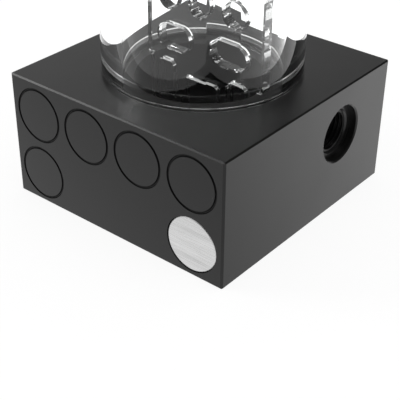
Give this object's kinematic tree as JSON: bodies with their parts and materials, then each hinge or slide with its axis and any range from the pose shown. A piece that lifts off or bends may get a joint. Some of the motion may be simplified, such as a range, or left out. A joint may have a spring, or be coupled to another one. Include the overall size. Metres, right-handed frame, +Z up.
{
  "type": "coolant pump reservoir",
  "caption": "Square black pump block with ring grooves and a side port, under a clear screwed-in reservoir tube with an anti-vortex plate and a ported cap.",
  "frame": {"origin": "centre of the block's underside", "axes": "+Z up along the reservoir tube, -Y out of the ring-grooved front face, +X out of the face with the outlet port"},
  "size_m": [0.08, 0.08, 0.1933],
  "materials": {
    "acetal": "black acetal, finely milled, faint tool marks",
    "acrylic": "clear polished acrylic",
    "rubber": "moulded nitrile, satin",
    "badge_metal": "straight brushed",
    "cover_metal": "turned, satin",
    "lamination": "stacked sheet, varnished",
    "screw_steel": "zinc plated",
    "spring_steel": "satin",
    "copper": "enamelled winding wire",
    "ceramic": "ground, polished",
    "carbon": "carbon graphite",
    "ferrite": "moulded over ferrite",
    "moulding": "glass-filled moulding",
    "nylon": "natural nylon",
    "circuit": "solder mask",
    "chip": "moulded packages"
  },
  "bodies": {
    "housing": {"pump_block": "acetal", "badge_disc": "badge_metal", "reservoir_tube": "acrylic", "tube_seal_ring": "rubber", "anti_vortex_plate": "acrylic", "rotor_shaft": "ceramic", "thrust_washer": "ceramic", "shaft_clip": "spring_steel", "separating_can": "moulding", "can_seal_ring": "rubber", "stator_core": "lamination", "stator_bobbins": "nylon", "stator_coils": "copper", "motor_housing": "moulding", "circuit_board": "circuit", "board_components": "chip", "base_cover": "cover_metal", "cover_screws": "screw_steel", "cable_grommet": "rubber"},
    "rotor": {"impeller": "moulding", "impeller_shroud": "moulding", "rotor_magnet": "ferrite", "rotor_bush": "carbon"},
    "cap_seal": {"cap_seal_ring": "rubber"},
    "cap": {"top_cap": "acetal", "drop_tube": "acrylic"},
    "fill_seal": {"fill_plug_seal": "rubber"},
    "fill": {"fill_plug": "acetal"},
    "spare_seal": {"spare_plug_seal": "rubber"},
    "spare": {"spare_plug": "acetal"}
  },
  "joints": [
    {"name": "impeller_spin", "type": "hinge", "parent": "housing", "child": "rotor", "pos_m": [0, 0, 0.0145], "axis": [0, 0, 1], "continuous": true},
    {"name": "cap_rise", "type": "slide", "parent": "housing", "child": "cap_seal", "axis": [0, 0, 1], "range_m": [0, 0.0061]},
    {"name": "cap_turn", "type": "hinge", "parent": "cap_seal", "child": "cap", "pos_m": [0, 0, 0.18], "axis": [0, 0, 1], "range_deg": [0, 1080]},
    {"name": "fill_plug_rise", "type": "slide", "parent": "cap", "child": "fill_seal", "axis": [0, 0, 1], "range_m": [0, 0.00709]},
    {"name": "fill_plug_turn", "type": "hinge", "parent": "fill_seal", "child": "fill", "pos_m": [0, -0.014, 0.19], "axis": [0, 0, 1], "range_deg": [0, 1800]},
    {"name": "spare_plug_rise", "type": "slide", "parent": "cap", "child": "spare_seal", "axis": [0, 0, 1], "range_m": [0, 0.00709]},
    {"name": "spare_plug_turn", "type": "hinge", "parent": "spare_seal", "child": "spare", "pos_m": [0.01212, 0.007, 0.19], "axis": [0, 0, 1], "range_deg": [0, 1800]}
  ],
  "couplings": [
    {"joint": "cap_rise", "follows": "cap_turn", "m_per_rad": 0.00031831},
    {"joint": "fill_plug_rise", "follows": "fill_plug_turn", "m_per_rad": 0.00021279},
    {"joint": "spare_plug_rise", "follows": "spare_plug_turn", "m_per_rad": 0.00021279}
  ]
}
